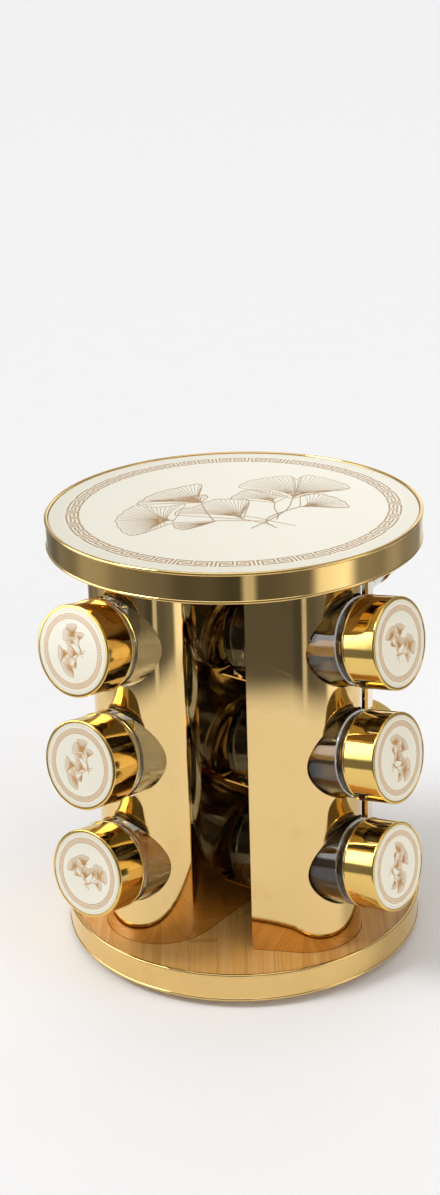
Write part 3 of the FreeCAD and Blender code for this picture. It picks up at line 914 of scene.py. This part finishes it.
# %% [markdown]
# ## Sifter inserts
# Under each cap a moulded plug snaps into the glass neck: a plate with a ring of sprinkling holes
# and a short skirt. The plate is a filled curve with holes, which Fill Curve cuts out wherever one
# circle lies inside another. Extruding it gives thickness, and a flipped copy of the plate closes
# the underside. The skirt is a rectangle swept round a circle.

# %% Sifter tree
RIM_SIDES = 64
HOLE_SIDES = 20
SKIRT_INSET = 0.8 * MM


def sifter_tree():
    sizes = {"Plate radius": "Float", "Hole radius": "Float", "Holes": "Int", "Ring radius": "Float",
             "Thickness": "Float", "Skirt": "Float", "Height": "Float", "Plastic": "Material"}
    tree = Tree("sifter plug", sizes)
    rim = tree.node("GeometryNodeCurvePrimitiveCircle", None,
                    {"Resolution": RIM_SIDES, "Radius": tree.given("Plate radius")})
    hole = tree.node("GeometryNodeCurvePrimitiveCircle", None,
                     {"Resolution": HOLE_SIDES, "Radius": tree.given("Hole radius")})
    ring = tree.node("GeometryNodeMeshCircle", None,
                     {"Vertices": tree.given("Holes"), "Radius": tree.given("Ring radius")})
    centre = tree.node("GeometryNodeMeshLine", None, {"Count": 1})
    spots = tree.node("GeometryNodeJoinGeometry", None, {0: [ring, centre]})
    holes = tree.node("GeometryNodeInstanceOnPoints", None, {"Points": spots, "Instance": hole})
    loose = tree.node("GeometryNodeRealizeInstances", None, {0: holes})
    outline = tree.node("GeometryNodeJoinGeometry", None, {0: [rim, loose]})
    plate = tree.node("GeometryNodeFillCurve", {"mode": "TRIANGLES"}, {0: outline})
    raised = tree.node("GeometryNodeExtrudeMesh", {"mode": "FACES"},
                       {"Mesh": plate, "Offset Scale": tree.given("Thickness"), "Individual": False})
    under = tree.node("GeometryNodeFlipFaces", None, {0: plate})
    slab = tree.node("GeometryNodeJoinGeometry", None, {0: [raised, under]})
    solid = tree.node("GeometryNodeMergeByDistance", None, {0: slab, "Distance": 1e-6})
    strip = tree.node("GeometryNodeCurvePrimitiveQuadrilateral", None,
                      {"Width": tree.given("Thickness"), "Height": tree.given("Skirt")})
    skirt_r = tree.math("SUBTRACT", tree.given("Plate radius"), SKIRT_INSET)
    path = tree.node("GeometryNodeCurvePrimitiveCircle", None, {"Resolution": RIM_SIDES, "Radius": skirt_r})
    skirt = tree.node("GeometryNodeCurveToMesh", None, {"Curve": path, "Profile Curve": strip})
    drop = tree.math("MULTIPLY", tree.given("Skirt"), -0.5)
    down = tree.node("ShaderNodeCombineXYZ", None, {"Z": drop})
    hung = tree.node("GeometryNodeTransform", None, {"Geometry": skirt, "Translation": down})
    plug = tree.node("GeometryNodeJoinGeometry", None, {0: [solid, hung]})
    lift = tree.node("ShaderNodeCombineXYZ", None, {"Z": tree.given("Height")})
    placed = tree.node("GeometryNodeTransform", None, {"Geometry": plug, "Translation": lift})
    tree.finish(placed, tree.given("Plastic"))
    return tree


empty = bpy.data.objects.new("plug_source", bpy.data.meshes.new("plug_source"))
bpy.context.scene.collection.objects.link(empty)
plug_values = {
    "Plate radius": 15.7 * MM, "Hole radius": 2.1 * MM, "Holes": 6, "Ring radius": 8.6 * MM,
    "Thickness": 1.0 * MM, "Skirt": 7.0 * MM, "Height": 86.5 * MM, "Plastic": finishes["liner_plastic"],
}
plug = grow(empty, sifter_tree(), plug_values, "plug")
print("plug faces:", len(plug.data.polygons), " box:", [round(1000 * x, 1) for x in plug.dimensions])

for side, level in PLACES:
    insert = copy_on_jar(plug, "sifter_" + side + "_" + level, side, level)
    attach(insert, "jar_" + side + "_" + level)
bpy.data.objects.remove(plug)
print("sifter inserts:", len(PLACES))

# %% [markdown]
# ## Studio
# Polished metal shows its surroundings and little else. A white room alone would make it look like
# yellow paint, so a product studio has a ring of bright and dark cards round the object.
# Here that ring is a short open cylinder whose brightness changes with direction, with one row of
# levels for its lower part and one for its upper part. It is seen only in reflections and through
# glass. The floor is plain, pale and far wider than the object.

# %% Floor and cards
def stage_object(name, points, faces, material):
    data = bpy.data.meshes.new(name)
    data.from_pydata(points, [], faces)
    data.materials.append(material)
    made = bpy.data.objects.new(name, data)
    bpy.context.scene.collection.objects.link(made)
    return made


def floor_paper():
    paper = new_finish("pale paper")
    here = paper.place()
    fibre = paper.noise(here, 30.0, detail=4.0)
    colour = paper.mix(fibre, paint("F3F3F4"), paint("F0F0F1"))
    return paper.surface(Base_Color=colour, Roughness=0.55 + 0.2 * fibre, Specular_IOR_Level=0.25)


FLOOR_REACH = 30.0
stage_object(
    "floor",
    [(x * FLOOR_REACH, y * FLOOR_REACH, 0) for x, y in ((-1, -1), (1, -1), (1, 1), (-1, 1))],
    [(0, 1, 2, 3)],
    floor_paper(),
)

CARD_RING = 0.39
CARD_HEIGHT = 0.42
CARD_FOOT = 0.026
CARD_LEVELS = [
    (-180, 0.155), (-168, 0.24), (-156, 0.22), (-143, 0.42), (-131, 0.42), (-118, 0.25), (-93, 0.18),
    (-80, 0.10), (-67, 0.11), (-55, 0.07), (-50, 0.07), (-48, 0.65), (-44, 0.65), (-41, 0.12),
    (-35, 0.12), (-14, 0.18), (-6, 1.15), (8, 1.40), (18, 0.32), (34, 0.27), (46, 0.42), (60, 0.28),
    (83, 0.30), (93, 0.76), (135, 0.85), (152, 0.72), (164, 0.25), (180, 0.155),
]
HIGH_LEVELS = [
    (-180, 0.5), (-165, 0.5), (-150, 3.4), (-118, 3.6), (-104, 0.35), (-85, 0.12), (-20, 0.14),
    (0, 0.9), (14, 1.4), (28, 0.30), (70, 0.22), (84, 0.9), (110, 1.3), (150, 0.8), (165, 0.3),
    (180, 0.5),
]
HIGH_FROM = 0.13
HIGH_BLEND = 0.05
PAPER_GLOW = 0.86


def card_light():
    """A glow that changes round the ring and fades into the paper's own brightness at its foot."""
    cards = new_finish("studio cards")
    x, y, z = cards.axes(cards.place())
    share = y.math("ARCTAN2", y, x) / math.tau + 0.5
    low, high = [
        cards.ramp(share, [(degrees / 360 + 0.5, level) for degrees, level in levels])
        for levels in (CARD_LEVELS, HIGH_LEVELS)
    ]
    paper = (PAPER_GLOW, PAPER_GLOW, PAPER_GLOW, 1)
    footed = cards.mix(z.smooth(0.0, CARD_FOOT), paper, low)
    colour = cards.mix(z.smooth(HIGH_FROM, HIGH_FROM + HIGH_BLEND), footed, high)
    glow = cards.node("ShaderNodeEmission", None, {"Color": colour, "Strength": 1.0})
    cards.node("ShaderNodeOutputMaterial", None, {"Surface": glow})
    return cards.owner


CARD_SIDES = 96
turns = [math.tau * i / CARD_SIDES for i in range(CARD_SIDES)]
circle = [(CARD_RING * math.cos(a), CARD_RING * math.sin(a)) for a in turns]
ring_points = [(x, y, z) for z in (0.0, CARD_HEIGHT) for x, y in circle]
ring_faces = [
    (i, (i + 1) % CARD_SIDES, CARD_SIDES + (i + 1) % CARD_SIDES, CARD_SIDES + i)
    for i in range(CARD_SIDES)
]
cards = stage_object("cards", ring_points, ring_faces, card_light())
cards.visible_camera = False
cards.visible_diffuse = False
cards.visible_shadow = False
print("cards stand", CARD_RING, "m from the axis")

# %% [markdown]
# ## Lights
# Four far, wide lights reach the floor equally everywhere, so it stays one even tone up to the
# horizon. The key light gives the shadow its direction, and the top light fills it in. The other two
# only brighten matt faces: mirrors and glass do not see them. Behind everything the sky gets
# brighter upwards in reflections, and is an even pale grey where it is seen directly.

# %% Soft light and surroundings
def soft_sun(name, right, front, height, spread, strength, colour=(1, 1, 1)):
    """A far, wide light that comes from a direction given as the viewer sees it."""
    lamp = bpy.data.lights.new(name, "SUN")
    lamp.angle = math.radians(spread)
    lamp.energy = strength
    lamp.color = colour
    made = bpy.data.objects.new(name, lamp)
    towards = Matrix.Rotation(VIEW_TURN, 3, "Z") @ Vector((right, -front, height))
    made.rotation_euler = towards.to_track_quat("Z", "Y").to_euler()
    bpy.context.scene.collection.objects.link(made)
    return made


soft_sun("key light", -1.3, 0.3, 1.5, 20, 1.36)
soft_sun("top light", -0.1, 0.2, 1.7, 50, 0.55)
fills = [
    soft_sun("front fill", 0.4, 2.2, 0.8, 40, 0.5),
    soft_sun("right fill", 2.0, 0.9, 0.5, 40, 0.9, (1.0, 0.9, 0.78)),
]
for fill in fills:
    fill.visible_glossy = False
    fill.visible_transmission = False

DOME_LEVELS = [(0.0, 0.15), (0.10, 0.17), (0.45, 0.42), (0.8, 0.53), (1.0, 0.48)]
HORIZON = (0.905, 0.905, 0.905, 1)
world = bpy.data.worlds.new("studio")
bpy.context.scene.world = world
sky = Finish(world)
upward = sky.axes(sky.node("ShaderNodeTexCoord"))[2]
lit = sky.node("ShaderNodeBackground", None, {"Color": sky.ramp(upward, DOME_LEVELS)})
seen = sky.node("ShaderNodeBackground", None, {"Color": HORIZON})
camera_ray = sky.node("ShaderNodeLightPath")
either = sky.node("ShaderNodeMixShader", None, {0: camera_ray, 1: lit, 2: seen})
sky.node("ShaderNodeOutputWorld", None, {"Surface": either})
bpy.context.scene.view_settings.view_transform = "Standard"
